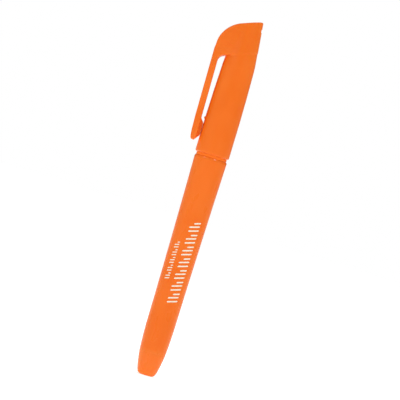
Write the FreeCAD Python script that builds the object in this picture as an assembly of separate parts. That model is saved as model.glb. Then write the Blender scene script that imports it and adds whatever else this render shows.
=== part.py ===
"""Capped pocket highlighter: a tapered barrel with its ink train inside, and a pull-off cap with a clip.

The frame: the origin is the centre of the flat tail end, +Z runs up the pen to the top of the cap, and the
clip is on the -X side. Lengths are in millimetres. A height written NAME_Z is measured from the tail end.
Every piece is turned about Z, or cut from an outline in the XZ plane.
"""
import os
from math import acos, atan2, cos, hypot, pi, radians, sin, tan

import FreeCAD
import Part

V = FreeCAD.Vector
AXIS = V(0, 0, 1)
ORIGIN = V(0, 0, 0)

# ---- driving dimensions ----------------------------------------------------------------------------------
PEN_LENGTH = 140.0
WALL = 1.0                 # moulded walls of the tail plug and the holder's skirt
RUN = 0.03                 # radial clearance where one moving piece runs on another
GAP = 0.1                  # clearance between faces that only meet end to end
SOFT = 0.3                 # ordinary softened edge
PAST = 1.0                 # how far a cutting shape runs on past what it cuts

TAIL_FLAT_R = 2.6          # the flat the pen stands on
TAIL_HEEL = (3.95, 2.3)    # radius and height where the rounded heel ends
TAIL_SEAM_Z = 9.0          # where the tail plug meets the barrel
TAIL_SEAM_R = 5.05
SEAM_EDGE = 0.06           # softened edge either side of the tail seam
SPIGOT_END_Z = 12.8

BARREL_WAIST = (5.50, 22.0)
BARREL_MID = (5.73, 50.0)
BARREL_FRONT_R = 6.30
BARREL_END_Z = 85.5
BARREL_RIM = 0.4           # rounding of the front rim
SOCKET_R = 5.30            # the nib holder presses in here
SOCKET_Z = 74.0
BORE_FRONT_R = 5.05
BORE_REAR_R = 4.28
RIB_COUNT = 4              # ribs in the barrel that centre the reservoir
RIB_INNER_R = 3.90
RIB_THICK = 0.7
RIB_Z = (14.0, 70.0)

RESERVOIR_R = 3.70
RESERVOIR_Z = (14.0, 80.0)
FILM_THICK = 0.09
BREATHER_R = 0.50
BREATHER_BORE_R = 0.28
BREATHER_X = 3.15          # on the side away from the clip
BREATHER_END_Z = 81.0

FLANGE_R = 5.90            # collar that shows in the groove under the cap
FLANGE_THICK = 0.9
NECK_R = 5.20
NECK_END_Z = 96.8
SNAP_Z = 90.8              # ring that holds the cap on
SNAP_RISE = 0.08
SNAP_HALF = 0.6
LAND_R = 3.95              # the inner cap seals on this land
LAND_Z = (98.2, 106.5)
NOSE_R = 3.05
NOSE_Z = 112.0
NIB_TUBE_WALL = 0.85
VENT_GROOVES = 3
VENT_GROOVE_R = 0.35

NIB_R = 2.10
NIB_STUB_R = 1.30          # thin tail that draws ink from the reservoir
NIB_TAIL_Z = 72.0
NIB_STEP_Z = (82.0, 83.4)
NIB_TIP_Z = 118.6
NIB_SHOULDER_Z = (113.0, 114.6)
NIB_HALF_THICK = 1.15      # across the chisel's flats
CHISEL_DROP = 3.3          # the slanted end falls this far across the nib
CHISEL_EDGE_R = 0.25

CAP_MOUTH_R = 6.58
CAP_MID = (6.56, 101.0)
CROWN_Z = 122.2            # the cap's taper steepens and the beak begins here
CROWN_R = 6.115
CROWN_TOP_R = 4.10         # the crown's radius at the full pen length
CAP_BORE_R = 5.42
CAP_BORE_END_Z = 97.6
CAP_BEAD_Z = 89.2          # snaps behind the holder's ring
CAP_BEAD_HALF = 0.4
SEAT_R = 4.85              # seat of the inner cap's collar
SEAT_Z = (98.5, 104.1)
CAVITY_R = (4.72, 4.45)    # cavity above the seat, bottom and top of its taper
CAVITY_TOP_Z = 126.6
CAVITY_END = (2.3, 131.8)  # radius and height of the cavity's flat end
GRIP_RIDGE = (-6.45, 99.4) # x and height of the small ridge under the clip
GRIP_RIDGE_R = 0.5
GRIP_RIDGE_LENGTH = 3.4
VENT_Z = (136.0, 137.1)    # air slot through the back of the crown
VENT_HALF_WIDTH = 1.25
VENT_SHAFT_R = 1.0
VENT_SHAFT_X = 1.1

ROOF_ANGLE = radians(20.0) # the cap's top rises this steeply away from the clip
ROOF_ARC_R = 11.2          # rounding from the roof down to the clip
ROOF_ARC_TOP_Z = 127.2     # the clip's outer face is measured here to place that rounding

CLIP_REF_Z = 100.7         # the two faces of the clip are at these x here, and lean out towards the crown
CLIP_OUTER_X = 10.39
CLIP_INNER_X = 7.95
CLIP_OUTER_LEAN = 0.0171
CLIP_INNER_LEAN = 0.0183
CLIP_HALF_WIDTH = 2.6
CLIP_EDGE_R = 0.7
FLANK_BITE = 0.25          # the beak's flanks run in this far under the skin of the cap
CLIP_TIP_Z = 90.2
CLIP_TAPER_Z = 97.0        # below this the outer face curves in to the tip
SLOT_TOP_Z = 123.5         # top of the slot between clip and cap, where it is furthest from the clip
SLOT_SIDE_Z = 121.9        # start of the slot's rounded corner, on the clip's side
CLIP_PIVOT = V(-9.55, 0, 125.7)    # axis the clip flexes about
CLIP_KNUCKLE_R = 3.5
PAD_X = 6.67               # inner face of the gripping pad
PAD_HALF_WIDTH = 1.9
PAD_FACE_Z = (92.5, 97.1)
PAD_END_Z = (91.15, 98.6)  # the pad's slopes meet the clip's inner face here
PAD_ROOT_X = 8.3           # the pad is rooted this deep in the clip

SEAL_WALL = 0.45
SEAL_MOUTH_Z = 98.3
SEAL_LIP = 0.9             # depth of the flared lip
SEAL_TOP_Z = 125.4
SEAL_BODY_R = 4.36
SEAL_TOP_R = 4.0

PRINT_THICK = 0.05
PRINT_ROWS = (
    {"z": (28.9, 61.0), "x": (-0.35, 3.55), "count": 21, "stroke": 0.5, "lean": 1.2},
    {"z": (37.6, 52.3), "x": (-3.75, -2.0), "count": 15, "stroke": 0.35, "lean": 0.5},
)

# ---- values worked out from them -------------------------------------------------------------------------
CAP_MOUTH_Z = BARREL_END_Z + FLANGE_THICK + GAP
HOLDER_REAR_Z = SOCKET_Z + 2 * GAP
CLIP_REACH = CLIP_OUTER_X + 2 * PAST       # past the clip's outer face
WIDE = CAP_MOUTH_R + PAST                  # past the cap on the other three sides


# ---- shape helpers ---------------------------------------------------------------------------------------
def face(start, *steps):
    """Face in the XZ plane, from start round to start again. A step is a point (x, z) to draw a line to, or a
    pair of points for an arc: one on the way and its end."""
    here = V(start[0], 0, start[1])
    first, edges = here, []
    for step in steps:
        if isinstance(step[0], tuple):
            via, end = (V(x, 0, z) for x, z in step)
            edges.append(Part.Arc(here, via, end).toShape())
        else:
            end = V(step[0], 0, step[1])
            edges.append(Part.makeLine(here, end))
        here = end
    edges.append(Part.makeLine(here, first))
    return Part.Face(Part.Wire(edges))


def turned(start, *steps):
    """Solid of revolution about Z."""
    return face(start, *steps).revolve(ORIGIN, AXIS, 360)


def slab(half_width, start, *steps):
    """An outline's face made solid, half_width to each side of the XZ plane."""
    shape = face(start, *steps).extrude(V(0, 2 * half_width, 0))
    shape.translate(V(0, -half_width, 0))
    return shape


def rod(radius, low_z, high_z, x=0.0):
    return Part.makeCylinder(radius, high_z - low_z, V(x, 0, low_z), AXIS)


def crossbar(radius, length, x, z):
    """Cylinder along Y, centred on the XZ plane."""
    return Part.makeCylinder(radius, length, V(x, -length / 2, z), V(0, 1, 0))


def around(shape, count, first_deg=0.0):
    """Copies of a shape, evenly spaced about the pen's axis."""
    copies = []
    for i in range(count):
        copy = shape.copy()
        copy.rotate(ORIGIN, AXIS, first_deg + i * 360.0 / count)
        copies.append(copy)
    return copies


def between(a, b, share):
    return a + (b - a) * share


# ---- outer lines -----------------------------------------------------------------------------------------
def clip_outer_x(z):
    return CLIP_OUTER_X + (z - CLIP_REF_Z) * CLIP_OUTER_LEAN


def clip_inner_x(z):
    return CLIP_INNER_X + (z - CLIP_REF_Z) * CLIP_INNER_LEAN


def crown_r(z):
    return between(CROWN_R, CROWN_TOP_R, (z - CROWN_Z) / (PEN_LENGTH - CROWN_Z))


def beak_section(z, circle_r):
    """Closed wire at height z: the clip's rounded outer face, and flanks that run in under the cap's skin."""
    centre = V(0, 0, z)
    corner = V(-(clip_outer_x(z) - CLIP_EDGE_R), CLIP_HALF_WIDTH - CLIP_EDGE_R, z)
    foot_r = circle_r - FLANK_BITE
    turn = atan2(corner.y, corner.x) - acos((foot_r - CLIP_EDGE_R) / hypot(corner.x, corner.y))

    def on(middle, radius, angle):
        return V(middle.x + radius * cos(angle), middle.y + radius * sin(angle), z)

    foot = on(centre, foot_r, turn)
    bend = [on(corner, CLIP_EDGE_R, between(turn, pi, share)) for share in (0, 0.5, 1)]
    far_foot, far_bend = V(foot.x, -foot.y, z), [V(p.x, -p.y, z) for p in reversed(bend)]
    return Part.Wire([
        Part.makeLine(foot, bend[0]),
        Part.Arc(*bend).toShape(),
        Part.makeLine(bend[2], far_bend[0]),
        Part.Arc(*far_bend).toShape(),
        Part.makeLine(far_bend[2], far_foot),
        Part.makeLine(far_foot, foot),
    ])


def beak_form():
    """Solid that the cap's beak and the clip are both cut from, so their faces run on into each other."""
    low, over = CLIP_TIP_Z - 2 * PAST, PEN_LENGTH + 2 * PAST
    sections = [
        beak_section(low, CAP_MOUTH_R),
        beak_section(CROWN_Z, CROWN_R),
        beak_section(over, crown_r(over)),
    ]
    return Part.makeLoft(sections, True, True)


def under_roof():
    """Everything below the slanted roof and the large rounding that leads from it down to the clip."""
    low = CAP_MOUTH_Z - PAST
    slope = tan(ROOF_ANGLE)
    centre_x = ROOF_ARC_R - clip_outer_x(ROOF_ARC_TOP_Z)
    centre_z = PEN_LENGTH + (centre_x - CROWN_TOP_R) * slope - ROOF_ARC_R / cos(ROOF_ANGLE)

    def on_arc(angle):
        return centre_x - ROOF_ARC_R * sin(angle), centre_z + ROOF_ARC_R * cos(angle)

    return slab(
        WIDE,
        (-CLIP_REACH, low),
        (-CLIP_REACH, centre_z),
        on_arc(pi / 2),
        (on_arc(between(pi / 2, ROOF_ANGLE, 0.5)), on_arc(ROOF_ANGLE)),
        (WIDE, PEN_LENGTH + (WIDE - CROWN_TOP_R) * slope),
        (WIDE, low),
    )


def slot_space():
    """What the clip's slot takes out of the beak: a rounded corner by the clip, and a top that rises like the
    roof until it is under the crown's skin."""
    low, inside_x = CLIP_TIP_Z - 2 * PAST, -CROWN_R / 4
    side_x = -clip_inner_x(SLOT_SIDE_Z)
    top_x = side_x + 1.0
    rise = SLOT_TOP_Z - SLOT_SIDE_Z
    return slab(
        WIDE,
        (side_x, low),
        (side_x, SLOT_SIDE_Z),
        ((between(side_x, top_x, 0.31), SLOT_SIDE_Z + 0.68 * rise), (top_x, SLOT_TOP_Z)),
        (inside_x, SLOT_TOP_Z + (inside_x - top_x) * tan(ROOF_ANGLE)),
        (inside_x, low),
    )


def clip_knuckle(radius):
    return crossbar(radius, 2 * WIDE, CLIP_PIVOT.x, CLIP_PIVOT.z)


# ---- pen body --------------------------------------------------------------------------------------------
def barrel():
    """Tapered tube, open at both ends, with ribs that centre the reservoir."""
    rim_z = BARREL_END_Z - 2 * BARREL_RIM
    rim_mid = (BARREL_FRONT_R - BARREL_RIM / 4, BARREL_END_Z - 0.9 * BARREL_RIM)
    shell = turned(
        (BORE_REAR_R, TAIL_SEAM_Z),
        (TAIL_SEAM_R - SEAM_EDGE, TAIL_SEAM_Z),
        (TAIL_SEAM_R, TAIL_SEAM_Z + SEAM_EDGE),
        ((5.33, 14.0), BARREL_WAIST),
        (BARREL_MID, (BARREL_FRONT_R, rim_z)),
        (rim_mid, (BARREL_FRONT_R - BARREL_RIM, BARREL_END_Z)),
        (SOCKET_R, BARREL_END_Z),
        (SOCKET_R, SOCKET_Z),
        (BORE_FRONT_R, SOCKET_Z),
    )
    low, high = RIB_Z
    rib = slab(
        RIB_THICK / 2,
        (RIB_INNER_R, low),
        (BORE_REAR_R + SOFT, low),
        (BORE_FRONT_R + SOFT, high),
        (RIB_INNER_R, high),
    )
    return shell.fuse(around(rib, RIB_COUNT, 180.0 / RIB_COUNT)).removeSplitter()


def tail_plug():
    """Cup that closes the tail: a spigot in the barrel, and crossed webs that hold the reservoir forward."""
    floor_z = WALL + 0.2
    spigot_inner = BORE_REAR_R - WALL
    web_low, web_high = 4.6, RESERVOIR_Z[0]
    cup = turned(
        (0, 0),
        (TAIL_FLAT_R, 0),
        ((3.47, 0.78), TAIL_HEEL),
        ((4.55, 5.4), (TAIL_SEAM_R, TAIL_SEAM_Z - SEAM_EDGE)),
        (TAIL_SEAM_R - SEAM_EDGE, TAIL_SEAM_Z),
        (BORE_REAR_R, TAIL_SEAM_Z),
        (BORE_REAR_R, SPIGOT_END_Z - SOFT),
        (BORE_REAR_R - SOFT, SPIGOT_END_Z),
        (spigot_inner, SPIGOT_END_Z),
        (spigot_inner, 5.0),
        ((2.95, 2.6), (2.2, floor_z)),
        (0, floor_z),
    )
    web = slab(
        WALL / 3,
        (-spigot_inner, web_low),
        (spigot_inner, web_low),
        (spigot_inner, web_high),
        (-spigot_inner, web_high),
    )
    return cup.fuse(around(web, 2)).removeSplitter()


def nib_holder():
    """Front section round the nib's tube: skirt in the barrel, collar, snap neck, sealing land and nose."""
    neck_z = BARREL_END_Z + FLANGE_THICK
    neck_inner_z = NECK_END_Z - 2 * WALL
    tube_r = NIB_R + NIB_TUBE_WALL
    tube_z = BREATHER_END_Z + 0.5
    skirt_r = NECK_R - WALL
    body = turned(
        (SOCKET_R, HOLDER_REAR_Z),
        (SOCKET_R, BARREL_END_Z),
        (FLANGE_R, BARREL_END_Z),
        (FLANGE_R, neck_z),
        (NECK_R, neck_z),
        (NECK_R, SNAP_Z - SNAP_HALF),
        ((NECK_R + SNAP_RISE, SNAP_Z), (NECK_R, SNAP_Z + SNAP_HALF)),
        (NECK_R, NECK_END_Z),
        (LAND_R, LAND_Z[0]),
        (LAND_R, LAND_Z[1]),
        (NOSE_R, NOSE_Z - SOFT),
        (NOSE_R - SOFT, NOSE_Z),
        (NIB_R, NOSE_Z),
        (NIB_R, tube_z),
        (tube_r, tube_z),
        (tube_r, neck_inner_z),
        (skirt_r, neck_inner_z),
        (skirt_r, HOLDER_REAR_Z),
    )
    groove = rod(VENT_GROOVE_R, tube_z, NOSE_Z, x=NIB_R)
    return body.cut(around(groove, VENT_GROOVES, 180.0 / VENT_GROOVES))


def chisel_nib():
    """Porous rod with a thin tail in the reservoir and a slanted chisel end."""
    over = NIB_TIP_Z + PAST
    whole = turned(
        (0, NIB_TAIL_Z),
        (NIB_STUB_R, NIB_TAIL_Z),
        (NIB_STUB_R, NIB_STEP_Z[0]),
        (NIB_R, NIB_STEP_Z[1]),
        (NIB_R, NIB_TIP_Z),
        (0, NIB_TIP_Z),
    )
    beside_flat = slab(
        2 * NIB_R,
        (2 * NIB_R, NIB_SHOULDER_Z[0]),
        (NIB_R, NIB_SHOULDER_Z[0]),
        (NIB_HALF_THICK, NIB_SHOULDER_Z[1]),
        (NIB_HALF_THICK, over),
        (2 * NIB_R, over),
    )
    over_slant = slab(
        2 * NIB_R,
        (-NIB_R, NIB_TIP_Z),
        (NIB_R, NIB_TIP_Z - CHISEL_DROP),
        (NIB_R, over),
        (-NIB_R, over),
    )
    nib = whole.cut(around(beside_flat, 2, 90.0)).cut(over_slant)
    above_shoulder = NIB_SHOULDER_Z[1] + SOFT / 2
    slanted_edges = [
        e for e in nib.Edges
        if e.BoundBox.ZMin > above_shoulder and e.BoundBox.ZLength < CHISEL_DROP + SOFT
    ]
    return nib.makeFillet(CHISEL_EDGE_R, slanted_edges)


def reservoir_core():
    """Fibre rod that holds the ink, with a socket for the nib's tail and a groove for the breather tube."""
    low, high = RESERVOIR_Z
    socket = rod(NIB_STUB_R, NIB_TAIL_Z, high)
    groove = rod(BREATHER_R, low, high, x=BREATHER_X)
    return rod(RESERVOIR_R, low, high).cut([socket, groove])


def reservoir_film():
    low, high = RESERVOIR_Z
    return rod(RESERVOIR_R + FILM_THICK, low, high).cut(rod(RESERVOIR_R, low, high))


def breather_tube():
    low = RESERVOIR_Z[0]
    tube = rod(BREATHER_R, low, BREATHER_END_Z, x=BREATHER_X)
    return tube.cut(rod(BREATHER_BORE_R, low, BREATHER_END_Z, x=BREATHER_X))


def print_skin():
    """Thin shell on the barrel's surface, which the printed strokes are cut from."""
    (waist_r, low), (mid_r, mid_z) = BARREL_WAIST, BARREL_MID
    rim_z = BARREL_END_Z - 2 * BARREL_RIM
    over = turned(
        (0, low),
        (waist_r + PRINT_THICK, low),
        ((mid_r + PRINT_THICK, mid_z), (BARREL_FRONT_R + PRINT_THICK, rim_z)),
        (0, rim_z),
    )
    under = turned(
        (0, low - PAST),
        (waist_r, low - PAST),
        BARREL_WAIST,
        (BARREL_MID, (BARREL_FRONT_R, rim_z)),
        (BARREL_FRONT_R, rim_z + PAST),
        (0, rim_z + PAST),
    )
    return over.cut(under)


def barrel_print():
    """Two rows of plain slanted strokes, printed on the front of the barrel."""
    skin = print_skin()
    solids = []
    for row in PRINT_ROWS:
        (left, right), (first, last) = row["x"], row["z"]
        last -= row["stroke"] + row["lean"]
        for i in range(row["count"]):
            z = between(first, last, i / (row["count"] - 1))
            outline = face(
                (left, z),
                (right, z + row["lean"]),
                (right, z + row["lean"] + row["stroke"]),
                (left, z + row["stroke"]),
            )
            solids += skin.common(outline.extrude(V(0, -WIDE, 0))).Solids
    return Part.makeCompound(solids)


# ---- cap -------------------------------------------------------------------------------------------------
def inner_cap():
    """Soft cup inside the cap that closes round the sealing land, so that the nib doesn't dry out."""
    inside_r, collar_r = LAND_R + RUN, SEAT_R - RUN
    collar_z = SEAT_Z[1] - GAP
    inner_top = SEAL_TOP_Z - 2 * SEAL_WALL
    narrow_z = LAND_Z[1] + 2.2
    return turned(
        (inside_r, SEAL_MOUTH_Z + SEAL_LIP),
        (inside_r + SEAL_LIP / 2, SEAL_MOUTH_Z),
        (collar_r - SOFT, SEAL_MOUTH_Z),
        (collar_r, SEAL_MOUTH_Z + SOFT),
        (collar_r, collar_z),
        (SEAL_BODY_R, collar_z),
        (SEAL_TOP_R, SEAL_TOP_Z - SOFT),
        (SEAL_TOP_R - SOFT, SEAL_TOP_Z),
        (0, SEAL_TOP_Z),
        (0, inner_top),
        (SEAL_TOP_R - SEAL_WALL, inner_top),
        (SEAL_BODY_R - 1.2 * SEAL_WALL, narrow_z),
        (inside_r, narrow_z - PAST),
    )


def beak():
    """The part of the cap over the slot, which carries the clip, with a round end that the clip turns on."""
    low, knuckle_top = CLIP_TIP_Z - 3 * PAST, SLOT_TOP_Z + 0.5
    inner = -clip_inner_x(SLOT_SIDE_Z) + 0.2
    clip_side = slab(WIDE, (-CLIP_REACH, low), (inner, low), (inner, knuckle_top), (-CLIP_REACH, knuckle_top))
    return beak_form().cut([slot_space(), clip_side.cut(clip_knuckle(CLIP_KNUCKLE_R))])


def cap_cavity():
    """Bore with its snap bead, the inner cap's seat, and the tapered space above it."""
    mouth_r = CAP_BORE_R + SOFT / 2
    bead_r = NECK_R + SNAP_RISE + RUN
    return turned(
        (0, CAP_MOUTH_Z - PAST),
        (mouth_r, CAP_MOUTH_Z - PAST),
        (mouth_r, CAP_MOUTH_Z),
        (CAP_BORE_R, CAP_MOUTH_Z + SOFT),
        (CAP_BORE_R, CAP_BEAD_Z - CAP_BEAD_HALF),
        ((bead_r, CAP_BEAD_Z), (CAP_BORE_R, CAP_BEAD_Z + CAP_BEAD_HALF)),
        (CAP_BORE_R, CAP_BORE_END_Z),
        (SEAT_R, SEAT_Z[0]),
        (SEAT_R, SEAT_Z[1]),
        (CAVITY_R[0], SEAT_Z[1]),
        (CAVITY_R[1], CAVITY_TOP_Z),
        CAVITY_END,
        (0, CAVITY_END[1]),
    )


def cap_shell():
    """Cap moulding without its clip: tapered sleeve, crown, beak, air vent, cavity and a ridge by the pad."""
    over = PEN_LENGTH + 4 * PAST
    body = turned(
        (0, CAP_MOUTH_Z),
        (CAP_MOUTH_R - SOFT, CAP_MOUTH_Z),
        ((CAP_MOUTH_R - SOFT / 3, CAP_MOUTH_Z + SOFT / 3), (CAP_MOUTH_R, CAP_MOUTH_Z + SOFT)),
        (CAP_MID, (CROWN_R, CROWN_Z)),
        (crown_r(over), over),
        (0, over),
    )
    ridge = crossbar(GRIP_RIDGE_R, GRIP_RIDGE_LENGTH, *GRIP_RIDGE)
    outside = body.fuse([beak(), ridge]).common(under_roof())
    low, high = VENT_Z
    vent_slot = slab(VENT_HALF_WIDTH, (0, low), (WIDE, low), (WIDE, high), (0, high))
    vent_shaft = rod(VENT_SHAFT_R, CAVITY_TOP_Z, high, x=VENT_SHAFT_X)
    return outside.cut([cap_cavity(), vent_slot, vent_shaft])


def pocket_clip():
    """Spring bar beside the cap: a gripping pad near its free end, and a hollow end round the knuckle."""
    top, tip = SLOT_TOP_Z + 0.5, CLIP_TIP_Z
    inner_top, inner_tip = -clip_inner_x(top), -clip_inner_x(PAD_END_Z[0])
    side = slab(
        WIDE,
        (inner_top, top),
        (inner_tip, PAD_END_Z[0]),
        (inner_tip - 0.6, tip + GAP),
        ((-9.15, tip), (-9.74, tip + 1.3)),
        ((-10.14, tip + 3.9), (-clip_outer_x(CLIP_TAPER_Z), CLIP_TAPER_Z)),
        (-CLIP_REACH, CLIP_TAPER_Z),
        (-CLIP_REACH, top),
    )
    bar = beak_form().common(side).cut(clip_knuckle(CLIP_KNUCKLE_R + RUN))
    pad = slab(
        PAD_HALF_WIDTH,
        (-PAD_ROOT_X, PAD_END_Z[1] + SOFT),
        (-clip_inner_x(PAD_END_Z[1]), PAD_END_Z[1]),
        (-PAD_X, PAD_FACE_Z[1]),
        (-PAD_X, PAD_FACE_Z[0]),
        (inner_tip, PAD_END_Z[0]),
        (-PAD_ROOT_X, PAD_END_Z[0]),
    )
    return bar.fuse(pad).removeSplitter()


PIECES = (
    barrel,
    tail_plug,
    nib_holder,
    chisel_nib,
    reservoir_core,
    reservoir_film,
    breather_tube,
    barrel_print,
    inner_cap,
    cap_shell,
    pocket_clip,
)


def main():
    os.makedirs("parts", exist_ok=True)
    for make in PIECES:
        name, shape = make.__name__, make()
        shape.exportStep(f"parts/{name}.step")
        print(f"{name:16s} solids {len(shape.Solids)}, valid {shape.isValid()}, {shape.Volume:.2f} mm3")


main()
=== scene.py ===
"""Looks of the capped pocket highlighter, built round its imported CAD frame.

The pen stands on its tail along +Z, with the clip on -X and the printed strokes on -Y. Shapes are worked out
in millimetres and scaled to metres when their meshes are made. Points of a section are (radius, z).
"""
from math import atan2, cos, hypot, pi, radians, sin, tan

import bmesh
import bpy
import numpy as np
from mathutils import Matrix, Vector


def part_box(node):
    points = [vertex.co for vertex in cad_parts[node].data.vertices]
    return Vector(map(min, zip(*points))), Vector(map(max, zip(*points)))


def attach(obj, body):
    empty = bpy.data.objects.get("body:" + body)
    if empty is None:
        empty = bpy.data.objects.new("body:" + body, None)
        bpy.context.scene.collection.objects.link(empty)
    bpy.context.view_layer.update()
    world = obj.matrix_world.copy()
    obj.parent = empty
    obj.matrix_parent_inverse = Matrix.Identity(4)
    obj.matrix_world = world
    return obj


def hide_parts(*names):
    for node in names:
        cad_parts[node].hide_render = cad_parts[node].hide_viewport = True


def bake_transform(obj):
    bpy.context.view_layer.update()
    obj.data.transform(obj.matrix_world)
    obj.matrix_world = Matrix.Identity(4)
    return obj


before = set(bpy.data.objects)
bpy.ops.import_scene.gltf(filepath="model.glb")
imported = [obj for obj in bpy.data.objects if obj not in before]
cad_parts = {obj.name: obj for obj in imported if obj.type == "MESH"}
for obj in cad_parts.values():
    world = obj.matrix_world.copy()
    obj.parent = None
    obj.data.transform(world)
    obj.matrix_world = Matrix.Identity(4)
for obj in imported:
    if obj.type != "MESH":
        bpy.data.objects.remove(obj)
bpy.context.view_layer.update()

MM = 0.001
AROUND = 144                # segments round a turned piece
TURNED_SHARP = 35           # degrees between two faces above which their edge shades as sharp
PRINT_SHARP = 40


def box_mm(node):
    """Low and high corner of a CAD node, in millimetres."""
    low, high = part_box(node)
    return low / MM, high / MM


BARREL_LOW, BARREL_HIGH = box_mm("barrel")
TAIL_TOP_Z = box_mm("tail_plug")[1].z
CAP_LOW, CAP_HIGH = box_mm("cap_shell")
CLIP_TIP_Z = box_mm("pocket_clip")[0].z
PRINT_LOW, PRINT_HIGH = box_mm("barrel_print")

# ---- sizes, in millimetres -------------------------------------------------------------------------------
PEN_LENGTH = 140.0
BARREL_REAR = (5.33, 14.0)    # points of the barrel's outer line, between the tail seam and the front rim
BARREL_WAIST = (5.50, 22.0)
BARREL_MIDDLE = (5.73, 50.0)
BARREL_FRONT_R = 6.29
BARREL_END_Z = BARREL_HIGH.z
BARREL_RIM = 0.60           # rounding of the barrel's front rim
SOCKET_R = 5.31             # bore that the nib holder is pressed into
SOCKET_END_Z = 74.0
BARREL_BORE_R = (4.29, 5.05)    # at the tail seam and at the socket
SEAM_Z = BARREL_LOW.z
SEAM_R = 5.05
SEAM_EDGE = 0.07            # softened edge either side of the tail seam

TAIL_FLAT_R = 2.6
TAIL_CORNER = (3.62, 1.25)  # where the rounding of the flat end stops
TAIL_SHOULDER = (3.95, 2.3)
TAIL_FLOOR_Z = 1.2
TAIL_SPIGOT_R = (3.3, 4.27)     # inner and outer radius of the part inside the barrel

CAP_MOUTH_Z = CAP_LOW.z
CAP_MOUTH_R = CAP_HIGH.x
CAP_TOP_Z = CAP_HIGH.z
CROWN_Z = 122.2             # the cap's taper steepens here
CROWN_R = 6.115
CROWN_TOP_R = 4.10
TAPER_HEIGHTS = (CAP_MOUTH_Z, 101.0, 110.0, 2 * CROWN_Z - 110.0)
TAPER_RADII = (CAP_MOUTH_R - 0.02, 6.56, 6.43, 5.79)
BEND_SOFTNESS = 0.16
BORE_END_Z = 131.8
BORE_HEIGHTS = (80.0, 97.6, 98.6, 104.1, 104.4, 126.6, BORE_END_Z)
BORE_RADII = (5.42, 5.42, 4.95, 4.95, 4.72, 4.45, 2.3)
CAP_BEAD_Z = CAP_MOUTH_Z + 2.7
CAP_BEAD_RISE = 0.1
CAP_BEAD_SPREAD = 0.3
MOUTH_EDGE = 0.56           # width over which the mouth's outer edge is rounded
BORE_EDGE = 0.3

ROOF_ANGLE = radians(20.0)
ROOF_ARC_R = 11.2
ROOF_EDGE = 0.75            # width over which the roof's rim is rounded

CLIP_REF_Z = 100.7
CLIP_OUTER_X = 10.39        # from the axis to the clip's two faces at that height
CLIP_INNER_X = 7.95
CLIP_OUTER_LEAN = 0.0171    # how much further out they are for each millimetre up
CLIP_INNER_LEAN = 0.0183
CLIP_HALF_WIDTH = 2.6
CLIP_EDGE_R = 0.7
CLIP_SOFTNESS = 0.45
BEAK_SOFTNESS = 0.5         # of the fillet where the beak leaves the sleeve
CLIP_CUT_Z = 120.5          # the clip's mesh meets the cap's here
PAD_HALF_WIDTH = 1.9
PAD_X = 6.60                # from the axis to the pad's flat face
PAD_ROOT_X = 8.4            # and to where the pad ends, inside the clip
PAD_LOW, PAD_HIGH = 2.25, 7.1    # ends of that face, above the clip's tip
HEEL_SLOPE, SHOULDER_SLOPE = 1.24, 1.25    # rise over run of the faces below and above it
PAD_EDGE = 0.3
TIP_HEIGHTS = (0.0, 0.12, 0.4, 0.8, 1.4, 2.6, 3.9, 6.8, 10.8)    # how the tip's outer face curves in
TIP_REACH = (9.15, 9.42, 9.65, 9.8, 9.92, 10.1, 10.26, 10.46, 11.2)
TIP_EDGE = 0.4
SLOT_TOP_Z = 123.5
SLOT_ROUNDING = 1.9

VENT_Z = (136.0, 137.1)
VENT_HALF_WIDTH = 1.25
VENT_FLOOR_X = 1.0
VENT_EDGE = 0.2
RIDGE = (-6.45, 99.4, 0.5, 1.4)    # x and z of the small ridge under the clip, its radius and half length
RIDGE_SOFTNESS = 0.25

PRINT_LIFT = 0.03           # how far the ink stands off the barrel
PRINT_DEPTH = 0.1           # how far the strokes reach into it
PRINT_MARGIN = 0.7          # from the first stroke's middle to the print's end
SHORT_ROW_IN = (8.0, 8.6)   # how much later the second row starts, and how much sooner it ends
STROKE_LEAN = 0.3           # rise over width
LONG_ROW = {"count": 21, "left": -0.35, "short_left": 1.1, "right": 3.55, "thick": 0.52}
SHORT_ROW = {"count": 15, "left": -3.75, "short_left": -2.9, "right": -2.0, "thick": 0.36}
STROKE_GRID = (14, 4)       # cells along and across a stroke
STROKE_TIP = 0.01           # half the thickness left at a stroke's rounded end

PAINTED_LIT_END_Z = (9.2, 10.6)        # the barrel is painted lighter towards its hollow end, as painted light shining through it
POLISH_Z = BARREL_END_Z - 1.3      # the barrel's rim is glossy above this

CAP_GRID = 0.25             # cells of the grids that the two surfaces are drawn on
CLIP_GRID = 0.16
GRID_SHIFT = 0.37           # in cells, so that no flat face lies on a plane of the grid
GRID_MARGIN = 0.4
HULL_DIRECTIONS = 72
SLEEVE_STEEPNESS = 0.995    # turns a gap beside a tapering wall into the distance to it
TIP_STEEPNESS = 0.9
CLIP_SIDE_X = -7.0          # the clip's half of the cut between the two meshes lies beyond this
CAP_CUT_X = -7.4            # and the cap's beyond this, which spares the sleeve's own wall


# ---- meshes ----------------------------------------------------------------------------------------------
def new_piece(name, vertices, faces):
    """Object with a smooth-shaded mesh. The vertices are in metres."""
    mesh = bpy.data.meshes.new(name)
    mesh.from_pydata([tuple(v) for v in vertices], [], [tuple(f) for f in faces])
    mesh.update()
    mesh.polygons.foreach_set("use_smooth", [True] * len(mesh.polygons))
    piece = bpy.data.objects.new(name, mesh)
    bpy.context.scene.collection.objects.link(piece)
    return piece


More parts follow.
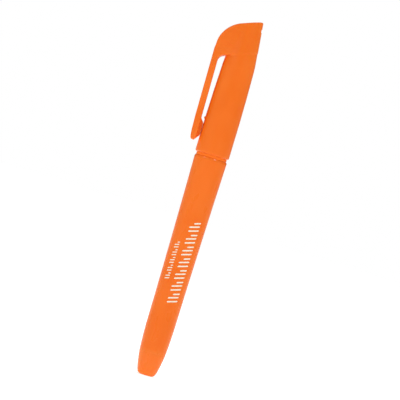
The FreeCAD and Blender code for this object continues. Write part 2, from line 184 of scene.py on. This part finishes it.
def arc(start, via, end, steps=10):
    """Points of the circle arc from start, through via, to end, without its start."""
    (ax, ay), (bx, by), (cx, cy) = start, via, end
    d = 2 * (ax * (by - cy) + bx * (cy - ay) + cx * (ay - by))
    ux = ((ax**2 + ay**2) * (by - cy) + (bx**2 + by**2) * (cy - ay) + (cx**2 + cy**2) * (ay - by)) / d
    uy = ((ax**2 + ay**2) * (cx - bx) + (bx**2 + by**2) * (ax - cx) + (cx**2 + cy**2) * (bx - ax)) / d
    radius = hypot(ax - ux, ay - uy)
    first, last = atan2(ay - uy, ax - ux), atan2(cy - uy, cx - ux)
    sweep = (last - first + pi) % (2 * pi) - pi
    angles = [first + sweep * i / steps for i in range(1, steps + 1)]
    return [(ux + radius * cos(a), uy + radius * sin(a)) for a in angles]


def turned(name, profile):
    """Closed solid of revolution. The profile goes round the section, as (radius, z) in millimetres."""
    rings, vertices, faces = [], [], []
    for r, z in profile:
        if r < 1e-6:
            rings.append([len(vertices)])
            vertices.append((0, 0, z * MM))
            continue
        rings.append(range(len(vertices), len(vertices) + AROUND))
        for i in range(AROUND):
            a = 2 * pi * i / AROUND
            vertices.append((r * cos(a) * MM, r * sin(a) * MM, z * MM))
    on_axis = profile[0][0] < 1e-6
    pairs = list(zip(rings, rings[1:])) + ([] if on_axis else [(rings[-1], rings[0])])
    for low, high in pairs:
        for i in range(AROUND):
            j = (i + 1) % AROUND
            corners = [low[i % len(low)], low[j % len(low)], high[j % len(high)], high[i % len(high)]]
            face = list(dict.fromkeys(corners))
            if len(face) > 2:
                faces.append(face)
    piece = new_piece(name, vertices, faces)
    tidy_normals(piece)
    return piece


def tidy_normals(piece):
    """Turns every face outwards."""
    mesh = bmesh.new()
    mesh.from_mesh(piece.data)
    bmesh.ops.recalc_face_normals(mesh, faces=mesh.faces)
    mesh.to_mesh(piece.data)
    mesh.free()


def crease(piece, degrees):
    """Shades smooth, with a sharp edge wherever two faces meet at more than this angle."""
    mesh = bmesh.new()
    mesh.from_mesh(piece.data)
    for edge in mesh.edges:
        edge.smooth = len(edge.link_faces) == 2 and edge.calc_face_angle() < radians(degrees)
    mesh.to_mesh(piece.data)
    mesh.free()


# ---- turned pieces ---------------------------------------------------------------------------------------
def barrel_line():
    """Outer line of the barrel, from the tail seam to the front rim."""
    front = (BARREL_FRONT_R, BARREL_END_Z - 1.4 * BARREL_RIM)
    rim_mid = (BARREL_FRONT_R - 0.27 * BARREL_RIM, BARREL_END_Z - 0.5 * BARREL_RIM)
    line = [(SEAM_R - SEAM_EDGE, SEAM_Z), (SEAM_R, SEAM_Z + SEAM_EDGE)]
    line += arc(line[-1], BARREL_REAR, BARREL_WAIST, 12)
    line += arc(BARREL_WAIST, BARREL_MIDDLE, front, 30)
    line += arc(front, rim_mid, (BARREL_FRONT_R - BARREL_RIM, BARREL_END_Z), 6)
    return line


def make_barrel():
    rear_r, front_r = BARREL_BORE_R
    inside = [(SOCKET_R, BARREL_END_Z), (SOCKET_R, SOCKET_END_Z), (front_r, SOCKET_END_Z), (rear_r, SEAM_Z)]
    piece = turned("barrel_tube", barrel_line() + inside)
    crease(piece, TURNED_SHARP)
    return piece


def make_tail():
    """Tapered end with a flat face, and the hollow spigot that sits in the barrel."""
    inner_r, outer_r = TAIL_SPIGOT_R
    line = [(0, 0), (TAIL_FLAT_R - 0.5, 0)]
    line += arc(line[-1], (TAIL_FLAT_R + 0.55, 0.42), TAIL_CORNER, 8)
    line += arc(line[-1], (3.80, 1.72), TAIL_SHOULDER, 4)
    line += arc(line[-1], (4.55, 5.4), (SEAM_R, SEAM_Z - SEAM_EDGE), 12)
    line += [(SEAM_R - SEAM_EDGE, SEAM_Z), (outer_r, SEAM_Z)]
    line += [(outer_r, TAIL_TOP_Z - 1.5), (inner_r, TAIL_TOP_Z - 1.2)]
    line += [(inner_r, 5.0), (2.2, TAIL_FLOOR_Z), (0, TAIL_FLOOR_Z)]
    piece = turned("tail_end", line)
    crease(piece, TURNED_SHARP)
    return piece


# ---- the cap as a distance function ----------------------------------------------------------------------
def soft_min(a, b, width):
    """The smaller of two distances, rounded off over a width where they meet."""
    h = np.clip(0.5 + 0.5 * (b - a) / width, 0, 1)
    return b * (1 - h) + a * h - width * h * (1 - h)


def soft_max(a, b, width):
    return -soft_min(-a, -b, width)


def clip_outer_x(z):
    """How far the clip's outer face is from the axis."""
    return CLIP_OUTER_X + (z - CLIP_REF_Z) * CLIP_OUTER_LEAN


def clip_inner_x(z):
    return CLIP_INNER_X + (z - CLIP_REF_Z) * CLIP_INNER_LEAN


def sleeve_r(z):
    """Outer radius of the cap: a slight taper, then the steeper crown."""
    taper = np.interp(z, TAPER_HEIGHTS, TAPER_RADII)
    crown = CROWN_R + (z - CROWN_Z) * (CROWN_TOP_R - CROWN_R) / (PEN_LENGTH - CROWN_Z)
    return soft_min(taper, crown, BEND_SOFTNESS)


def beak_distance(x, y, z):
    """Distance to the section that wraps the crown's circle and the clip's two rounded corners."""
    corner_x = -(clip_outer_x(z) - CLIP_EDGE_R)
    corner_y = CLIP_HALF_WIDTH - CLIP_EDGE_R
    crown_r = sleeve_r(z)
    side = np.abs(y)
    distance = np.full(x.shape, -1e9)
    for i in range(HULL_DIRECTIONS + 1):
        a = pi * i / HULL_DIRECTIONS
        nx, ny = cos(a), sin(a)
        reach = np.maximum(crown_r, nx * corner_x + ny * corner_y + CLIP_EDGE_R)
        distance = np.maximum(distance, nx * x + ny * side - reach)
    return distance


def slot_distance(x, z):
    """Distance to the slot's space, between the clip's inner face and the underside of the beak."""
    beside_clip = -clip_inner_x(z) - x
    edge_x = -clip_inner_x(SLOT_TOP_Z) + 1.0
    under_beak = (z - SLOT_TOP_Z - (x - edge_x) * tan(ROOF_ANGLE)) * cos(ROOF_ANGLE)
    return soft_max(beside_clip, under_beak, SLOT_ROUNDING)


def roof_distance(x, z):
    """Distance to the space under the slanted roof and its large rounding on the clip's side."""
    centre_x = ROOF_ARC_R - clip_outer_x(CROWN_Z + 5)
    rise = (centre_x - CROWN_TOP_R) * tan(ROOF_ANGLE)
    centre_z = PEN_LENGTH + rise - ROOF_ARC_R / cos(ROOF_ANGLE)
    dx, dz = x - centre_x, z - centre_z
    along = dx * cos(ROOF_ANGLE) + dz * sin(ROOF_ANGLE)
    across = dz * cos(ROOF_ANGLE) - dx * sin(ROOF_ANGLE)
    rounded = np.where(dz > 0, np.hypot(dx, dz), -dx + 0.5 * dz)
    return np.where(along > 0, across, rounded) - ROOF_ARC_R


def beak_and_clip(x, y, z):
    """Distance to the beak and the clip's bar in one, with the slot cut out."""
    return soft_max(beak_distance(x, y, z), -slot_distance(x, z), CLIP_SOFTNESS)


def bore_r(z):
    """Radius of the cap's bore, with the bead that snaps behind the holder's ring."""
    bead = CAP_BEAD_RISE * np.exp(-(((z - CAP_BEAD_Z) / CAP_BEAD_SPREAD) ** 2))
    return np.interp(z, BORE_HEIGHTS, BORE_RADII) - bead


def ridge_distance(x, y, z):
    """Distance to the small ridge under the clip, just above its pad."""
    ridge_x, ridge_z, ridge_r, ridge_half = RIDGE
    beyond_end = np.maximum(np.abs(y) - ridge_half, 0)
    return np.hypot(np.hypot(x - ridge_x, z - ridge_z), beyond_end) - ridge_r


def vent_distance(x, y, z):
    """Distance to the air vent's slit in the back of the crown."""
    low, high = VENT_Z
    slit = np.maximum(np.abs(z - 0.5 * (low + high)) - 0.5 * (high - low), np.abs(y) - VENT_HALF_WIDTH)
    return np.maximum(slit, VENT_FLOOR_X - x)


def cap_distance(x, y, z):
    """Distance to the cap moulding: sleeve, beak, ridge, slanted roof, mouth, bore and vent."""
    radius = np.hypot(x, y)
    shape = (radius - sleeve_r(z)) * SLEEVE_STEEPNESS
    high = z > CLIP_CUT_Z - 2
    beak = np.full(x.shape, 1e3)
    beak[high] = beak_and_clip(x[high], y[high], z[high])
    beak = np.maximum(beak, CLIP_CUT_Z - 1 - z)
    shape = soft_min(shape, beak, BEAK_SOFTNESS)
    shape = soft_min(shape, ridge_distance(x, y, z), RIDGE_SOFTNESS)
    shape = soft_max(shape, roof_distance(x, z), ROOF_EDGE)
    shape = soft_max(shape, CAP_MOUTH_Z - z, MOUTH_EDGE)
    bore = np.maximum(radius - bore_r(z), z - BORE_END_Z)
    shape = soft_max(shape, -bore, BORE_EDGE)
    return soft_max(shape, -vent_distance(x, y, z), VENT_EDGE)


def clip_distance(x, y, z):
    """Distance to the spring clip: the bar with its rounded tip, and the pad that grips the cloth."""
    above_tip = z - CLIP_TIP_Z
    heel = (PAD_LOW - above_tip + (x + PAD_X) * HEEL_SLOPE) / hypot(1, HEEL_SLOPE)
    bar = soft_max(beak_and_clip(x, y, z), soft_max(-above_tip, heel, TIP_EDGE), TIP_EDGE)
    curve_in = (-x - np.interp(above_tip, TIP_HEIGHTS, TIP_REACH)) * TIP_STEEPNESS
    bar = soft_max(bar, curve_in, TIP_EDGE)
    shoulder = (above_tip - PAD_HIGH - (-PAD_X - x) * SHOULDER_SLOPE) / hypot(1, SHOULDER_SLOPE)
    pad = np.maximum(x + PAD_X, np.abs(y) - PAD_HALF_WIDTH)
    pad = soft_max(pad, soft_max(heel, shoulder, PAD_EDGE), PAD_EDGE)
    pad = np.maximum(pad, -PAD_ROOT_X - x)
    shape = soft_min(bar, pad, PAD_EDGE)
    return np.maximum(shape, z - CLIP_CUT_Z - 1)


def surface_of(distance, low, high, grid):
    """Vertices and quads of the surface where distance is 0. Each vertex lies in a grid cell that the surface
    crosses, and is then moved onto the surface along the slope of the distance."""
    first = np.floor(np.array(low) / grid).astype(int) - 2
    last = np.ceil(np.array(high) / grid).astype(int) + 2
    axes = [(np.arange(a, b + 1) + GRID_SHIFT) * grid for a, b in zip(first, last)]
    x, y, z = np.meshgrid(*axes, indexing="ij")
    inside = distance(x, y, z) < 0
    cells = np.zeros(tuple(n - 1 for n in inside.shape), int)
    for i in (0, 1):
        for j in (0, 1):
            for k in (0, 1):
                cells += inside[i:i - 1 or None, j:j - 1 or None, k:k - 1 or None]
    crossed = (cells > 0) & (cells < 8)
    index = np.full(crossed.shape, -1)
    index[crossed] = np.arange(crossed.sum())
    points = (np.argwhere(crossed) + first + 0.5 + GRID_SHIFT) * grid
    points = onto_surface(distance, points, grid)
    quads = []
    for axis in range(3):
        b, c = [n for n in range(3) if n != axis]
        ahead = np.moveaxis(inside, axis, 0)
        changes = np.moveaxis(ahead[1:] != ahead[:-1], 0, axis)
        spots = np.argwhere(changes)
        room = (spots[:, b] > 0) & (spots[:, c] > 0)
        spots = spots[room]
        ring = []
        for db, dc in ((0, 0), (-1, 0), (-1, -1), (0, -1)):
            cell = spots.copy()
            cell[:, b] += db
            cell[:, c] += dc
            ring.append(index[tuple(cell.T)])
        quads.append(np.stack(ring, 1))
    return points, np.concatenate(quads)


def onto_surface(distance, points, grid, rounds=6):
    """Moves points along the slope of the distance until it is 0, by half a cell at most in each round."""
    step = 0.01
    for _ in range(rounds):
        x, y, z = points.T
        here = distance(x, y, z)
        slope = np.stack([
            distance(x + step, y, z) - distance(x - step, y, z),
            distance(x, y + step, z) - distance(x, y - step, z),
            distance(x, y, z + step) - distance(x, y, z - step),
        ], 1) / (2 * step)
        size = np.maximum((slope**2).sum(1), 0.25)
        move = slope * (here / size)[:, None]
        length = np.maximum(np.linalg.norm(move, axis=1, keepdims=True), 1e-9)
        points = points - move * np.minimum(1, 0.5 * grid / length)
    return points


def drawn(name, distance, low, high, grid, keep_above):
    """Piece whose surface is a distance function's zero, cut flat where the clip leaves the cap. keep_above
    picks the side of the cut that stays."""
    points, quads = surface_of(distance, low, high, grid)
    piece = new_piece(name, points * MM, quads)
    mesh = bmesh.new()
    mesh.from_mesh(piece.data)
    bmesh.ops.recalc_face_normals(mesh, faces=mesh.faces)
    near = [f for f in mesh.faces if f.calc_center_median().x < CLIP_SIDE_X * MM]
    near_parts = {p for f in near for p in (f, *f.edges, *f.verts)}
    bmesh.ops.bisect_plane(
        mesh,
        geom=list(near_parts),
        plane_co=(0, 0, CLIP_CUT_Z * MM),
        plane_no=(0, 0, -1 if keep_above else 1),
    )
    side_x = CAP_CUT_X if keep_above else CLIP_SIDE_X
    gone = []
    for face in mesh.faces:
        middle = face.calc_center_median()
        if middle.x < side_x * MM and (middle.z < CLIP_CUT_Z * MM) == keep_above:
            gone.append(face)
    bmesh.ops.delete(mesh, geom=gone, context="FACES")
    loose = [v for v in mesh.verts if not v.link_faces]
    bmesh.ops.delete(mesh, geom=loose, context="VERTS")
    rim = [e for e in mesh.edges if len(e.link_faces) == 1]
    filled = bmesh.ops.holes_fill(mesh, edges=rim, sides=0)
    for face in filled["faces"]:
        face.smooth = False
    for edge in rim:
        edge.smooth = False
    mesh.to_mesh(piece.data)
    mesh.free()
    return piece


def make_cap():
    low = (CAP_LOW.x - GRID_MARGIN, -CAP_MOUTH_R - GRID_MARGIN, CAP_MOUTH_Z - GRID_MARGIN)
    high = (CAP_MOUTH_R + GRID_MARGIN, CAP_MOUTH_R + GRID_MARGIN, CAP_TOP_Z + GRID_MARGIN)
    return drawn("cap_moulding", cap_distance, low, high, CAP_GRID, keep_above=True)


def make_clip():
    low = (CAP_LOW.x - GRID_MARGIN, -CLIP_HALF_WIDTH - 2, CLIP_TIP_Z - GRID_MARGIN)
    high = (-PAD_X + GRID_MARGIN, CLIP_HALF_WIDTH + 2, CLIP_CUT_Z + 1 + GRID_MARGIN)
    return drawn("spring_clip", clip_distance, low, high, CLIP_GRID, keep_above=False)


# ---- print ------------------------------------------------------------------------------------------------
def barrel_r(z):
    """Outer radius of the barrel."""
    line = barrel_line()
    return np.interp(z, [p[1] for p in line], [p[0] for p in line])


def patch(outline, grid_x, grid_z):
    """Thin closed shape laid on the barrel's front. outline(share) gives x and the low and high z there."""
    vertices, faces = [], []
    for lift in (PRINT_LIFT, -PRINT_DEPTH):
        for i in range(grid_x + 1):
            x, low, high = outline(i / grid_x)
            for j in range(grid_z + 1):
                z = low + (high - low) * j / grid_z
                r = barrel_r(z) + lift
                vertices.append((x * MM, -(r**2 - x**2) ** 0.5 * MM, z * MM))
    row, layer = grid_z + 1, (grid_x + 1) * (grid_z + 1)
    for i in range(grid_x):
        for j in range(grid_z):
            a = i * row + j
            faces.append((a, a + row, a + row + 1, a + 1))
            faces.append((a + layer, a + layer + 1, a + layer + row + 1, a + layer + row))
    rim = [i * row for i in range(grid_x + 1)] + [grid_x * row + j for j in range(1, grid_z + 1)]
    rim += [i * row + grid_z for i in range(grid_x - 1, -1, -1)] + [j for j in range(grid_z - 1, 0, -1)]
    for a, b in zip(rim, rim[1:] + rim[:1]):
        faces.append((a, a + layer, b + layer, b))
    return vertices, faces


def stroke(left, right, z, thick):
    """Slanted stroke with round ends."""
    lean = STROKE_LEAN * (right - left)

    def outline(share):
        from_end = min(share, 1 - share) * (right - left) / (0.5 * thick)
        half = 0.5 * thick * (1 - (1 - min(from_end, 1)) ** 2) ** 0.5 + STROKE_TIP
        middle = z + lean * (share - 0.5)
        return left + (right - left) * share, middle - half, middle + half

    return patch(outline, *STROKE_GRID)


def row_of_strokes(low, high, row):
    """Strokes spread evenly between two heights, every third one short."""
    strokes_made = []
    for i in range(row["count"]):
        z = low + (high - low) * i / (row["count"] - 1)
        left = row["short_left"] if i % 3 == 2 else row["left"]
        strokes_made.append(stroke(left, row["right"], z, row["thick"]))
    return strokes_made


def make_print():
    """Two rows of plain slanted strokes along the front of the barrel."""
    low, high = PRINT_LOW.z + PRINT_MARGIN, PRINT_HIGH.z - PRINT_MARGIN
    start_in, end_in = SHORT_ROW_IN
    parts = row_of_strokes(low, high, LONG_ROW) + row_of_strokes(low + start_in, high - end_in, SHORT_ROW)
    vertices, faces = [], []
    for part_vertices, part_faces in parts:
        faces += [tuple(k + len(vertices) for k in face) for face in part_faces]
        vertices += part_vertices
    piece = new_piece("print_strokes", vertices, faces)
    tidy_normals(piece)
    crease(piece, PRINT_SHARP)
    return piece


# ---- materials -------------------------------------------------------------------------------------------
def shade(red, green, blue):
    return (red, green, blue, 1.0)


ORANGE = shade(0.80, 0.150, 0.008)
ORANGE_DEEP = shade(0.775, 0.138, 0.006)
# the next shade colours faint clouds and also a painted highlight along edges and rims
ORANGE_CLOUD_AND_PAINTED_GLINT = shade(0.88, 0.21, 0.026)
# the next shade is painted light shining through the hollow tail end
ORANGE_PAINTED_LIT_THROUGH = shade(0.82, 0.178, 0.018)
INK = shade(0.9, 0.83, 0.68)
INK_THIN = shade(0.9, 0.62, 0.38)
INK_HOLE = shade(0.9, 0.3, 0.08)
PLASTIC_IOR = 1.46
SATIN_GLOSS = 0.22          # specular level of a moulded face
POLISHED_GLOSS = 0.9        # and of a polished rim
POLISHED_ROUGHNESS = 0.13


def add(tree, kind, settings=None, **inputs):
    """Adds a shader node. An input is named with _ for each space, or is i and its number, such as i2. Its
    value is a number, a colour, or another node's output."""
    node = tree.nodes.new("ShaderNode" + kind)
    for key, value in (settings or {}).items():
        setattr(node, key, value)
    for key, value in inputs.items():
        name = key.replace("_", " ")
        socket = node.inputs[int(key[1:])] if key[0] == "i" and key[1:].isdigit() else node.inputs[name]
        if isinstance(value, bpy.types.NodeSocket):
            tree.links.new(value, socket)
        else:
            socket.default_value = value
    return node


def new_material(name):
    material = bpy.data.materials.new(name)
    material.use_nodes = True
    material.node_tree.nodes.clear()
    return material, material.node_tree


def place(tree, stretch=(1, 1, 1)):
    """Place on the piece in metres. A share below 1 in stretch draws the texture out along that axis."""
    coordinates = add(tree, "TexCoord").outputs["Object"]
    return add(tree, "Mapping", Vector=coordinates, Scale=stretch).outputs[0]


def height_of(tree):
    return add(tree, "SeparateXYZ", Vector=place(tree)).outputs["Z"]


def noise(tree, vector, scale, detail=2.0, roughness=0.5):
    node = add(tree, "TexNoise", Vector=vector, Scale=scale, Detail=detail, Roughness=roughness)
    return node.outputs["Fac"]


def ramp(tree, value, low, high, to_low=0.0, to_high=1.0):
    """Smooth step from to_low, where the value is low, to to_high, where it is high."""
    inputs = {"i0": value, "i1": low, "i2": high, "i3": to_low, "i4": to_high}
    return add(tree, "MapRange", {"interpolation_type": "SMOOTHSTEP"}, **inputs).outputs[0]


def maths(tree, operation, *values):
    inputs = {f"i{i}": value for i, value in enumerate(values)}
    return add(tree, "Math", {"operation": operation}, **inputs).outputs[0]


def blended(tree, share, first, second):
    """Number that goes from the first value to the second as share grows."""
    return add(tree, "Mix", {"data_type": "FLOAT"}, i0=share, i2=first, i3=second).outputs[0]


def mixed(tree, share, first, second):
    """Colour that goes from the first to the second as share grows."""
    return add(tree, "Mix", {"data_type": "RGBA"}, i0=share, i6=first, i7=second).outputs[2]


def painted_glint_share(tree, radius, reach):
    """1 on edges and rims and 0 on open faces, from how far a rounded normal turns away from the real one. It
    masks the painted edge highlight.
    """
    soft = add(tree, "Bevel", {"samples": 4}, Radius=radius).outputs[0]
    true = add(tree, "NewGeometry").outputs["Normal"]
    dot = add(tree, "VectorMath", {"operation": "DOT_PRODUCT"}, i0=soft, i1=true).outputs["Value"]
    return ramp(tree, dot, 1.0, 1.0 - reach)


def moulded_colour(tree, base, deep, rim, band, joined):
    """Flow marks of a deeper shade, faint clouds of the lighter one, and a painted highlight of the lighter
    one along edges and rims.
    """
    flow = noise(tree, place(tree, (1, 1, 0.2)), 260.0, 3.0)
    cloud = noise(tree, place(tree), 70.0, 1.0)
    colour = mixed(tree, ramp(tree, flow, 0.35, 0.75, 0.0, 0.55), base, deep)
    colour = mixed(tree, ramp(tree, cloud, 0.3, 0.7, 0.0, 0.25), colour, rim)
    # painted light: lighter towards the hollow end, as if light shone through the plastic there
    if band:
        low, high, hollow = band
        colour = mixed(tree, ramp(tree, height_of(tree), high, low, 0.0, 0.9), colour, hollow)
    # painted highlight: edges and rims take the lighter shade, as if light came through the thin plastic
    # there
    edges = painted_glint_share(tree, 0.35 * MM, 0.25)
    if joined is not None:
        away = maths(tree, "ABSOLUTE", maths(tree, "SUBTRACT", height_of(tree), joined))
        edges = maths(tree, "MULTIPLY", edges, ramp(tree, away, 0.45 * MM, 0.9 * MM))
    return mixed(tree, edges, colour, rim)


def moulded_surface(tree, roughness):
    """Roughness and bumps of a moulded face, with fine scratches along the pen from handling."""
    grain = noise(tree, place(tree), 5200.0, 2.0)
    ripple = noise(tree, place(tree, (1, 1, 0.35)), 420.0, 2.0)
    scratches = noise(tree, place(tree, (1, 1, 0.03)), 5200.0, 1.0)
    worn = maths(tree, "MULTIPLY", ramp(tree, scratches, 0.64, 0.72), 0.12)
    rough = ramp(tree, ripple, 0.25, 0.75, roughness - 0.05, roughness + 0.07)
    rough = maths(tree, "ADD", rough, worn)
    relief = add(tree, "Bump", Height=ripple, Strength=0.08, Distance=0.03 * MM).outputs[0]
    relief = add(tree, "Bump", Height=grain, Strength=0.25, Distance=0.004 * MM, Normal=relief).outputs[0]
    return rough, relief


def moulded_plastic(
    name, base, deep, rim, roughness, band=None, joined=None, polished=None, scatter=0.25, painted_glow=0.1
):
    """Moulded plastic with a painted glow in its own colour, which lightens its shaded gaps and creases.
    Three optional heights, in metres, change it:
    band is (z, z, colour), and the colour grows in below the higher z as painted light, where a hollow end
    would let light in.
    joined is where two meshes meet as one moulding, so that the edges of the cut get no painted edge
    highlight.
    polished is where the glossy rim starts."""
    material, tree = new_material(name)
    colour = moulded_colour(tree, base, deep, rim, band, joined)
    rough, relief = moulded_surface(tree, roughness)
    gloss = SATIN_GLOSS
    if polished is not None:
        polish = ramp(tree, height_of(tree), polished, polished + 0.4 * MM)
        rough = blended(tree, polish, rough, POLISHED_ROUGHNESS)
        gloss = ramp(tree, polish, 0, 1, SATIN_GLOSS, POLISHED_GLOSS)
    # the emission is a painted glow that lightens shaded gaps and creases, and no lamp gives it
    surface = add(
        tree, "BsdfPrincipled", Base_Color=colour, Roughness=rough, Normal=relief, IOR=PLASTIC_IOR,
        Specular_IOR_Level=gloss, Emission_Color=colour, Emission_Strength=painted_glow, Subsurface_Weight=scatter,
        Subsurface_Radius=(1.0, 0.45, 0.12), Subsurface_Scale=1.2 * MM,
    )
    tree.links.new(surface.outputs[0], add(tree, "OutputMaterial").inputs[0])
    return material


def soaked_fibre(name, base, deep, pores):
    """Bundled fibre: fine streaks along the pen and open pores on the cut faces."""
    material, tree = new_material(name)
    streaks = noise(tree, place(tree, (1, 1, 0.08)), 5000.0, 3.0, 0.7)
    pore = add(tree, "TexVoronoi", Vector=place(tree), Scale=pores).outputs["Distance"]
    colour = mixed(tree, ramp(tree, streaks, 0.3, 0.7), base, deep)
    colour = mixed(tree, ramp(tree, pore, 0.35, 0.1, 0.0, 0.5), colour, deep)
    relief = add(tree, "Bump", Height=streaks, Strength=0.5, Distance=0.03 * MM).outputs[0]
    relief = add(tree, "Bump", Height=pore, Strength=0.4, Distance=0.03 * MM, Normal=relief).outputs[0]
    rough = ramp(tree, streaks, 0.2, 0.8, 0.75, 0.95)
    surface = add(
        tree, "BsdfPrincipled", Base_Color=colour, Roughness=rough, Normal=relief,
        Specular_IOR_Level=0.2, Sheen_Weight=0.15,
    )
    tree.links.new(surface.outputs[0], add(tree, "OutputMaterial").inputs[0])
    return material


def printed_ink(name):
    """Opaque off-white ink, thinner and more tinted in places, with pinholes."""
    material, tree = new_material(name)
    thin = noise(tree, place(tree), 900.0, 3.0)
    holes = noise(tree, place(tree), 6000.0, 1.0)
    colour = mixed(tree, ramp(tree, thin, 0.45, 0.8, 0.0, 0.5), INK, INK_THIN)
    colour = mixed(tree, ramp(tree, holes, 0.68, 0.74), colour, INK_HOLE)
    relief = add(tree, "Bump", Height=thin, Strength=0.3, Distance=0.01 * MM).outputs[0]
    rough = ramp(tree, holes, 0.3, 0.7, 0.4, 0.6)
    surface = add(
        tree, "BsdfPrincipled", Base_Color=colour, Roughness=rough, Normal=relief, Specular_IOR_Level=0.3
    )
    tree.links.new(surface.outputs[0], add(tree, "OutputMaterial").inputs[0])
    return material


def wear(piece, material):
    """Gives the piece this one material."""
    piece.data.materials.clear()
    piece.data.materials.append(material)


def backdrop(name, painted_glow):
    """Pale matt paper, lit through from behind so that it reads as white."""
    material, tree = new_material(name)
    cloud = noise(tree, place(tree), 3.0, 2.0)
    colour = mixed(tree, cloud, shade(0.93, 0.93, 0.93), shade(0.96, 0.96, 0.96))
    surface = add(
        tree, "BsdfPrincipled", Base_Color=colour, Roughness=0.9, Specular_IOR_Level=0.0,
        Emission_Color=shade(1, 1, 1), Emission_Strength=painted_glow,
    )
    tree.links.new(surface.outputs[0], add(tree, "OutputMaterial").inputs[0])
    return material


# ---- the pieces ------------------------------------------------------------------------------------------
cap = make_cap()
clip = make_clip()
barrel = make_barrel()
tail = make_tail()
strokes = make_print()

# the third shade of each plastic colours its faint clouds and its painted edge highlight
cap_plastic = moulded_plastic("cap_plastic", ORANGE, ORANGE_DEEP, ORANGE_CLOUD_AND_PAINTED_GLINT, 0.34, joined=CLIP_CUT_Z * MM)
# the band paints light shining through the barrel's hollow end
barrel_plastic = moulded_plastic(
    "barrel_plastic", ORANGE, ORANGE_DEEP, ORANGE_CLOUD_AND_PAINTED_GLINT, 0.30,
    band=(PAINTED_LIT_END_Z[0] * MM, PAINTED_LIT_END_Z[1] * MM, ORANGE_PAINTED_LIT_THROUGH), polished=POLISH_Z * MM,
)
# the tail's lighter shade is painted light shining through its hollow end
tail_plastic = moulded_plastic("tail_plastic", ORANGE_PAINTED_LIT_THROUGH, ORANGE, ORANGE_CLOUD_AND_PAINTED_GLINT, 0.30, scatter=0.5)
# a stronger painted glow lightens the shade in the gap under the cap's mouth
holder_plastic = moulded_plastic("holder_plastic", ORANGE, ORANGE_DEEP, ORANGE_CLOUD_AND_PAINTED_GLINT, 0.22, painted_glow=0.2)
liner_plastic = moulded_plastic(
    "liner_plastic", shade(0.82, 0.78, 0.70), shade(0.76, 0.72, 0.64), shade(0.9, 0.87, 0.8), 0.45
)
film_plastic = moulded_plastic(
    "film_plastic", shade(0.85, 0.5, 0.3), shade(0.8, 0.4, 0.2), shade(0.9, 0.6, 0.4), 0.2
)
breather_plastic = moulded_plastic(
    "breather_plastic", shade(0.8, 0.8, 0.78), shade(0.74, 0.74, 0.72), shade(0.9, 0.9, 0.88), 0.4
)
nib_fibre = soaked_fibre("nib_fibre", shade(0.88, 0.14, 0.012), shade(0.70, 0.08, 0.006), 5200.0)
reservoir_fibre = soaked_fibre("reservoir_fibre", shade(0.9, 0.2, 0.03), shade(0.75, 0.12, 0.01), 3200.0)

for piece, material in (
    (cap, cap_plastic),
    (clip, cap_plastic),
    (barrel, barrel_plastic),
    (tail, tail_plastic),
    (strokes, printed_ink("print_white")),
    (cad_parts["nib_holder"], holder_plastic),
    (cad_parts["inner_cap"], liner_plastic),
    (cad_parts["reservoir_film"], film_plastic),
    (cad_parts["breather_tube"], breather_plastic),
    (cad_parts["chisel_nib"], nib_fibre),
    (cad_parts["reservoir_core"], reservoir_fibre),
):
    wear(piece, material)

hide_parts("cap_shell")
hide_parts("pocket_clip")
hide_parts("barrel")
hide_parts("tail_plug")
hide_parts("barrel_print")
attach(cap, "cap")
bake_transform(clip)
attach(barrel, "barrel")
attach(tail, "barrel")
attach(strokes, "barrel")


# ---- stage, light and camera -----------------------------------------------------------------------------
FLOOR_HALF = 6.0            # metres
PEN_MIDDLE = (0, 0, 0.07)

VIEW_CENTRE = (0.583, 0, 69.09)    # millimetres: the middle of the picture
VIEW_WIDTH = 150.85
VIEW_LEAN = 16.8            # degrees that the pen leans to the right
SENSOR_WIDTH = 36.0
FOCAL_LENGTH = 200.0


def make_floor():
    """Pale flat floor."""
    corners = [(-1, -1), (1, -1), (1, 1), (-1, 1)]
    vertices = [(x * FLOOR_HALF, y * FLOOR_HALF, 0.0) for x, y in corners]
    floor = new_piece("studio_floor", vertices, [(0, 1, 2, 3)])
    wear(floor, backdrop("floor_paper", 0.5))


def make_world(seen, fill, mirrored):
    """White behind the pen, with a softer white for the light it gives and for what gloss reflects."""
    world = bpy.data.worlds.new("studio")
    world.use_nodes = True
    tree = world.node_tree
    tree.nodes.clear()
    path = add(tree, "LightPath")
    is_glossy, is_seen = path.outputs["Is Glossy Ray"], path.outputs["Is Camera Ray"]
    level = blended(tree, is_seen, blended(tree, is_glossy, fill, mirrored), seen)
    light = add(tree, "Background", Color=shade(1, 1, 1), Strength=level)
    tree.links.new(light.outputs[0], add(tree, "OutputWorld").inputs[0])
    bpy.context.scene.world = world


def soft_light(name, place_at, size, power):
    """Round area light that faces the pen."""
    lamp = bpy.data.lights.new(name, "AREA")
    lamp.shape = "DISK"
    lamp.size = size
    lamp.energy = power
    holder = bpy.data.objects.new(name, lamp)
    holder.location = place_at
    holder.rotation_mode = "QUATERNION"
    holder.rotation_quaternion = (Vector(PEN_MIDDLE) - Vector(place_at)).to_track_quat("-Z", "Y")
    bpy.context.scene.collection.objects.link(holder)


def make_camera():
    """Looks square on to the clip's plane, from the print's side, with the pen leaning to the right."""
    lens = bpy.data.cameras.new("camera")
    lens.sensor_width = SENSOR_WIDTH
    lens.lens = FOCAL_LENGTH
    lens.clip_start, lens.clip_end = 0.01, 100.0
    camera = bpy.data.objects.new("camera", lens)
    distance = VIEW_WIDTH * MM * FOCAL_LENGTH / SENSOR_WIDTH
    camera.matrix_world = (
        Matrix.Translation(Vector(VIEW_CENTRE) * MM + Vector((0, -distance, 0)))
        @ Matrix.Rotation(pi / 2, 4, "X")
        @ Matrix.Rotation(radians(VIEW_LEAN), 4, "Z")
    )
    bpy.context.scene.collection.objects.link(camera)
    bpy.context.scene.camera = camera


make_floor()
make_world(seen=1.0, fill=0.54, mirrored=0.10)
soft_light("key", (0.45, -0.55, 0.75), 0.22, 1.5)
soft_light("fill", (-0.6, -0.5, 0.5), 0.22, 0.85)
soft_light("top", (0.0, 0.15, 0.9), 0.7, 1.8)
make_camera()
bpy.context.scene.view_settings.view_transform = "Standard"
